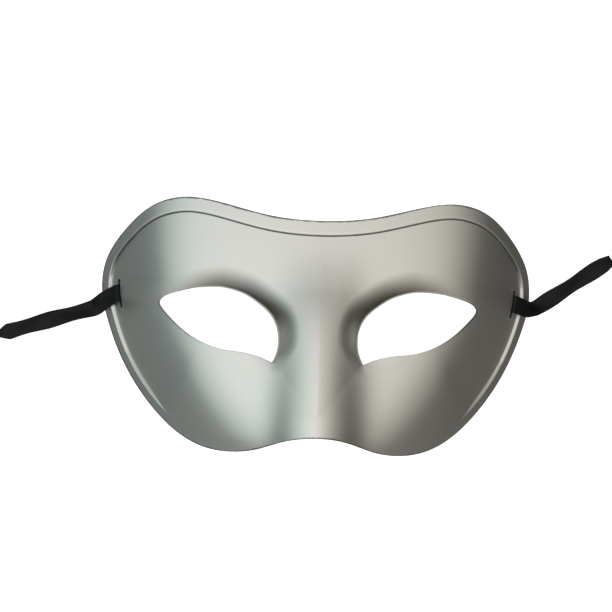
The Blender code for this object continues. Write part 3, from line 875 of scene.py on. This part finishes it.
def silver_paint(look):
    """Satin silver with fine flakes and bare plastic inside; painted shade on the steep sides, the rolled
    brow edges, the border's step and in the slots, and a painted highlight on the eyes' lip.
    """
    material, shade = new_material("silver_paint")
    where = shade.make("ShaderNodeTexCoord", None, None, 3)
    cloud = shade.noise(where, CLOUD_SCALE, 3.0)
    flake = shade.noise(where, FLAKE_SCALE, 2.0, 0.7)
    orange_peel = shade.noise(where, PEEL_SCALE, 2.0)
    bare = shade.attribute("bare")
    facing = shade.attribute("facing")
    # Painted shade: the silver darkens the further the surface turns from facing straight up, as on the steep
    # temples
    painted_side_shade = (1.0 - facing).clamp()
    overspray = (bare + (shade.noise(where, DUST_SCALE, 4.0) - 0.5) * 0.5 * bare).clamp()
    silver = tuple(look.silver)
    body = shade.blend(cloud, scaled(silver, 0.96), scaled(silver, 1.04))
    body = shade.blend(((flake - 0.5) * 1.2 + 0.35).clamp(), body, scaled(silver, 1.12))
    body = shade.blend(painted_side_shade * 0.55, body, scaled(silver, 0.55))
    patchy = shade.noise(where, PATCH_SCALE, 4.0, 0.65)
    long_wear = shade.noise(where, WEAR_SCALE, 2.0)
    rim_gap = shade.attribute("rim_gap")
    eye_gap = shade.attribute("eye_gap")
    rim_worn = ((RIM_WEAR - rim_gap) * 2.5 + (patchy - 0.5) * 2.6 + (long_wear - 0.5) * 3.0).clamp() * 0.85
    roll = shade.attribute("roll")
    groove = shade.attribute("groove")
    # Painted highlight: a lighter line along the rolled brow edge of the eyes
    eye_lip_highlight = ((EYE_LIP_HIGHLIGHT - eye_gap) * 2.5 + (patchy - 0.5) * 0.6).clamp() * (roll * 1.3).clamp()
    eye_edge = ((EYE_WEAR - eye_gap) * 3.0 + (patchy - 0.5) * 2.2 + (long_wear - 0.5) * 2.0).clamp() * 0.55
    # Painted shadow where the brow edge rolls into the eye opening
    body = shade.blend((roll * 1.35 + (cloud - 0.5) * 0.3 * roll).clamp() * 0.92, body, tuple(look.shadow))
    body = shade.blend(eye_lip_highlight * 0.7, body, scaled(silver, 0.9))
    # Painted shade along the border's step near the brow, in the primer's dark colour
    body = shade.blend((groove * (0.8 + (patchy - 0.5) * 0.7)).clamp(), body, tuple(look.primer_and_shade))
    body = shade.blend(rim_worn, body, tuple(look.primer_and_shade))
    body = shade.blend(eye_edge, body, tuple(look.primer_and_shade))
    # Painted shadow inside the slots: nearly black and not metallic
    slot = shade.attribute("slot")
    colour = shade.blend(overspray, body, tuple(look.plastic))
    colour = shade.blend(slot, colour, scaled(look.primer_and_shade, 0.3))
    rough = look.roughness + (cloud - 0.5) * 0.05 + (flake - 0.5) * 0.06 + overspray * 0.2
    bump = shade.make("ShaderNodeBump", None,
                      {"Strength": 0.10, "Distance": 0.0001, "Height": flake * 0.6 + orange_peel})
    shader = shade.make("ShaderNodeBsdfPrincipled", None, {
        "Base Color": colour,
        "Metallic": (0.94 - overspray - rim_worn * 0.5 - eye_lip_highlight * 0.25 - slot).clamp(),
        "Roughness": rough,
        "Normal": bump,
    })
    shade.surface(shader)
    return material


def black_satin(look):
    """Black satin: long floats with a soft sheen and fine threads across."""
    material, shade = new_material("black_satin")
    along = shade.attribute("along")
    across = shade.attribute("across")
    where = shade.make("ShaderNodeTexCoord", None, None, 3)
    threads = (along * (2.0 * math.pi / THREAD_PITCH)).math("SINE") * 0.5 + 0.5
    floats = (across * (2.0 * math.pi / FLOAT_PITCH)).math("SINE") * 0.5 + 0.5
    soft = shade.noise(where, SATIN_SCALE, 3.0)
    colour = tuple(look.colour)
    body = shade.blend(threads * 0.35 + soft * 0.4, scaled(colour, 0.8), scaled(colour, 1.8))
    rough = 0.40 + (soft - 0.5) * 0.12 + floats * 0.05
    relief = threads * 0.7 + floats * 0.5 + soft * 0.6
    bump = shade.make("ShaderNodeBump", None, {"Strength": 0.25, "Distance": 0.00005, "Height": relief})
    shader = shade.make("ShaderNodeBsdfPrincipled", None, {
        "Base Color": body,
        "Roughness": rough,
        "Normal": bump,
        "Specular IOR Level": 0.14,
        "Sheen Weight": 0.01,
        "Sheen Roughness": 0.4,
    })
    shade.surface(shader)
    return material


def rounded_path(corners, spacing):
    """Points along straight runs with rounded corners (x, y, z, radius), at most spacing apart."""
    places = [np.array(c[:3]) for c in corners]
    path = [places[0]]
    for before, here, after, corner in zip(places, places[1:], places[2:], corners[1:]):
        come = (here - before) / np.linalg.norm(here - before)
        go = (after - here) / np.linalg.norm(after - here)
        angle = math.acos(max(-1.0, min(1.0, float(come.dot(go)))))
        cut = corner[3] * math.tan(angle / 2)
        count = max(BEND_STEPS, math.ceil(corner[3] * angle / spacing))
        first = here - come * cut
        last = here + go * cut
        for k in range(count + 1):
            t = k / count
            path.append(first * (1 - t) ** 2 + here * 2 * t * (1 - t) + last * t * t)
    path.append(places[-1])
    filled = [path[0]]
    for point in path[1:]:
        run = np.linalg.norm(point - filled[-1])
        if run < LEAST_RUN:
            continue
        count = max(1, math.ceil(run / spacing))
        start = filled[-1]
        filled += [start + (point - start) * (k / count) for k in range(1, count + 1)]
    return np.array(filled)


def ribbon_path(front, side, run, spacing):
    """Middle line of a ribbon: its tail against the wall's inside, through the slot, then its free run."""
    middle, down, _, out = front.slot_frame(side)
    sizes = front.sizes
    off = sizes.wall / 2 + RIBBON_GAP + RIBBON_SOLID / 2
    x = np.array([side * SLOT_MIDDLE_X - down[0] * TAIL_LENGTH])
    y = np.array([SLOT_MIDDLE_Y - down[1] * TAIL_LENGTH])
    tail = np.array([x[0], y[0], front.height(x, y)[0] + front.lift])
    tail -= front.normal(x, y)[0] * (sizes.border_rise + sizes.wall / 2 + off)
    corners = [
        (*tail, 0.0),
        (*(middle - out * off), RIBBON_SOLID),
        (*(middle + out * off), RIBBON_SOLID),
    ]
    return rounded_path(corners + list(run), spacing)


def ribbon_object(name, front, look, side, run, end):
    """A thin strip along the path, turned from the slot's direction to lie flat on the surface."""
    path = ribbon_path(front, side, run, look.step)
    _, _, along, _ = front.slot_frame(side)
    length = np.concatenate([[0.0], np.cumsum(np.linalg.norm(np.diff(path, axis=0), axis=1))])
    tangent = np.gradient(path, axis=0)
    tangent /= np.linalg.norm(tangent, axis=1, keepdims=True)
    flat = np.cross([0.0, 0.0, 1.0], tangent)
    flat *= np.sign(flat[:, 1])[:, None]
    flat /= np.maximum(np.linalg.norm(flat, axis=1, keepdims=True), LEAST_FLAT)
    turn = smooth_share((length - TAIL_LENGTH - TURN_START) / (TURN_WIDTHS * look.width))[:, None]
    across = along * (1.0 - turn) + flat * turn
    across -= tangent * (across * tangent).sum(axis=1, keepdims=True)
    across /= np.linalg.norm(across, axis=1, keepdims=True)
    face = np.cross(across, tangent)
    face *= np.sign(face[-1, 2])
    share = np.interp(length[-1] - length, [end[1][0], end[0][0]], [end[1][1], end[0][1]])
    bm = bmesh.new()
    count = len(path) - 1
    bmesh.ops.create_grid(bm, x_segments=count, y_segments=RIBBON_COLUMNS, size=1.0)
    along_layer = bm.verts.layers.float.new("along")
    across_layer = bm.verts.layers.float.new("across")
    for vert in bm.verts:
        i = round((vert.co.x + 1.0) / 2.0 * count)
        v = vert.co.y
        reach = v * share[i] * look.width / 2
        roll = turn[i, 0] * TWIST * math.sin(length[i] * TWIST_TURNS + side)
        spread = across[i] * math.cos(roll) + face[i] * math.sin(roll)
        ripple = turn[i, 0] * RIPPLE * math.sin(length[i] * RIPPLE_TURNS + v)
        vert[along_layer] = length[i]
        vert[across_layer] = reach
        vert.co = path[i] + spread * reach + face[i] * (ripple + CURL * (1.0 - v * v))
        if turn[i, 0] > 0.0:
            vert.co.z = max(vert.co.z, look.thickness / 2 + RIBBON_REST)
    bmesh.ops.recalc_face_normals(bm, faces=bm.faces[:])
    bmesh.ops.solidify(bm, geom=bm.faces[:], thickness=look.thickness)
    bmesh.ops.recalc_face_normals(bm, faces=bm.faces[:])
    return new_object(name, bm), path, length[-1]


def preset(name):
    return getattr(bpy.context.scene, name)


class HALFMASK_OT_shell(bpy.types.Operator):
    """Builds the moulded silver shell over its solid"""

    bl_idname = "half_mask.shell"
    bl_label = "Mask shell"

    def execute(self, context):
        front = Front(preset("half_mask_sizes"))
        item = new_object("shell", shell_bmesh(front))
        cutters = [slot_cutter(front, side) for side in (1, -1)]
        for cutter in cutters:
            cut = item.modifiers.new("slot", "BOOLEAN")
            cut.operation = "DIFFERENCE"
            cut.solver = "EXACT"
            cut.object = cutter
        settled(item)
        for cutter in cutters:
            bpy.data.objects.remove(cutter, do_unlink=True)
        if len(item.data.polygons) < LEAST_FACES:
            raise RuntimeError("the slots were not cut: the shell came out empty")
        paint_values(item, front)
        item.data.materials.clear()
        item.data.materials.append(silver_paint(preset("half_mask_paint")))
        item.data.shade_smooth()
        item.data.set_sharp_from_angle(angle=math.radians(SHARP_ANGLE))
        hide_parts("mask_shell")
        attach(item, "root")
        return {"FINISHED"}


class HALFMASK_OT_ribbons(bpy.types.Operator):
    """Builds the two black satin ties, each through its slot and down to the surface"""

    bl_idname = "half_mask.ribbons"
    bl_label = "Satin ties"

    def execute(self, context):
        front = Front(preset("half_mask_sizes"))
        look = preset("half_mask_ribbon")
        satin = black_satin(look)
        for name, side, run, end in (("left", -1, LEFT_RUN, LEFT_END), ("right", 1, RIGHT_RUN, RIGHT_END)):
            item, path, length = ribbon_object("tie_" + name, front, look, side, run, end)
            item.data.materials.append(satin)
            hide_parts("ribbon_" + name)
            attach(item, "root")
        return {"FINISHED"}


class HALFMASK_OT_stage(bpy.types.Operator):
    """Builds the camera, the pale floor and the light tent"""

    bl_idname = "half_mask.stage"
    bl_label = "Stage"

    def execute(self, context):
        look = preset("half_mask_stage")
        self.add_camera(context.scene)
        self.add_floor(tuple(look.floor))
        self.add_tent(context.scene, look.strength)
        context.scene.view_settings.view_transform = "Standard"
        return {"FINISHED"}

    def add_camera(self, scene):
        data = bpy.data.cameras.new("camera")
        data.sensor_width = SENSOR_WIDTH
        data.lens = SENSOR_WIDTH * FOCAL_PIXELS / PHOTO_SIDE
        data.shift_x = (PHOTO_SIDE / 2 - PIVOT_PIXEL[0]) / PHOTO_SIDE
        data.shift_y = (PIVOT_PIXEL[1] - PHOTO_SIDE / 2) / PHOTO_SIDE
        data.clip_start = CLIP_START
        data.clip_end = CLIP_END
        roll = Matrix.Rotation(math.radians(CAMERA_ROLL), 3, "Z")
        yaw = Matrix.Rotation(math.radians(CAMERA_YAW), 3, "Y")
        to_world = (roll @ yaw).transposed()
        camera = bpy.data.objects.new("camera", data)
        camera.matrix_world = Matrix.Translation(
            Vector(PIVOT) + to_world @ Vector((0.0, 0.0, CAMERA_DISTANCE))) @ to_world.to_4x4()
        scene.collection.objects.link(camera)
        scene.camera = camera

    def add_floor(self, colour):
        bm = bmesh.new()
        bmesh.ops.create_grid(bm, x_segments=1, y_segments=1, size=FLOOR_REACH)
        bmesh.ops.translate(bm, vec=(0.0, 0.0, -FLOOR_DROP), verts=bm.verts[:])
        floor = new_object("floor", bm)
        material, shade = new_material("floor")
        where = shade.make("ShaderNodeTexCoord", None, None, 3)
        mottle = shade.noise(where, FLOOR_SCALE)
        body = shade.blend(mottle, scaled(colour, 0.99), colour)
        shade.surface(shade.make("ShaderNodeBsdfPrincipled", None,
                                 {"Base Color": body, "Roughness": 0.9, "Specular IOR Level": 0.1,
                                  "Emission Color": body, "Emission Strength": FLOOR_GLOW}))
        floor.data.materials.append(material)
        floor.visible_glossy = False

    def add_tent(self, scene, strength):
        world = bpy.data.worlds.new("tent")
        world.use_nodes = True
        scene.world = world
        shade = Shade(world.node_tree)
        direction = shade.make("ShaderNodeTexCoord", None, None, 0)
        parts = shade.make("ShaderNodeSeparateXYZ", None, {0: direction})
        across, along, height = (Wire(shade, parts.socket.node.outputs[i]) for i in range(3))
        dome = shade.make("ShaderNodeValToRGB", {"stops": TENT_DOME}, {0: height * 0.5 + 0.5})
        fall = 1.0 - across.math("MAXIMUM", 0.0) * TENT_RIGHT_FALL
        fall = fall * (1.0 - along.math("MAXIMUM", 0.0) * TENT_BROW_FALL)
        cheekward = along.math("MINIMUM", 0.0) * -1.0
        low = (1.0 - across) * TENT_LOW_LEFT * 0.5 + (1.0 + across) * TENT_LOW_RIGHT * 0.5
        tint = shade.make("ShaderNodeValToRGB", {"stops": TENT_TINT}, {0: across * 0.5 + 0.5})
        level = dome * fall + low + cheekward * TENT_CHEEK_RISE
        lit = shade.make("ShaderNodeMix", {"data_type": "RGBA", "blend_type": "MULTIPLY"},
                         {0: 1.0, 6: tint, 7: level}, 2)
        back = shade.make("ShaderNodeBackground", None, {"Color": lit, "Strength": strength})
        shade.make("ShaderNodeOutputWorld", None, {"Surface": back})


class HALFMASK_PT_sidebar(bpy.types.Panel):
    """Sizes, colours and pieces of the half mask."""

    bl_label = "Half mask"
    bl_space_type = "VIEW_3D"
    bl_region_type = "UI"
    bl_category = "Half mask"

    def draw(self, context):
        for name in GROUPS:
            box = self.layout.box()
            group = getattr(context.scene, name)
            for key in group.__annotations__:
                box.prop(group, key)
        for operator in (HALFMASK_OT_shell, HALFMASK_OT_ribbons, HALFMASK_OT_stage):
            self.layout.operator(operator.bl_idname)


GROUPS = {
    "half_mask_sizes": MaskSizes,
    "half_mask_paint": PaintLook,
    "half_mask_ribbon": RibbonLook,
    "half_mask_stage": StageLook,
}
TOOLS = (HALFMASK_OT_shell, HALFMASK_OT_ribbons, HALFMASK_OT_stage, HALFMASK_PT_sidebar)


def register():
    for name, group in GROUPS.items():
        bpy.utils.register_class(group)
        setattr(bpy.types.Scene, name, PointerProperty(type=group))
    for tool in TOOLS:
        bpy.utils.register_class(tool)


def unregister():
    for tool in reversed(TOOLS):
        bpy.utils.unregister_class(tool)
    for name, group in GROUPS.items():
        delattr(bpy.types.Scene, name)
        bpy.utils.unregister_class(group)


def main():
    register()
    bpy.ops.half_mask.stage()
    bpy.ops.half_mask.ribbons()
    bpy.ops.half_mask.shell()


if __name__ == "__main__":
    main()
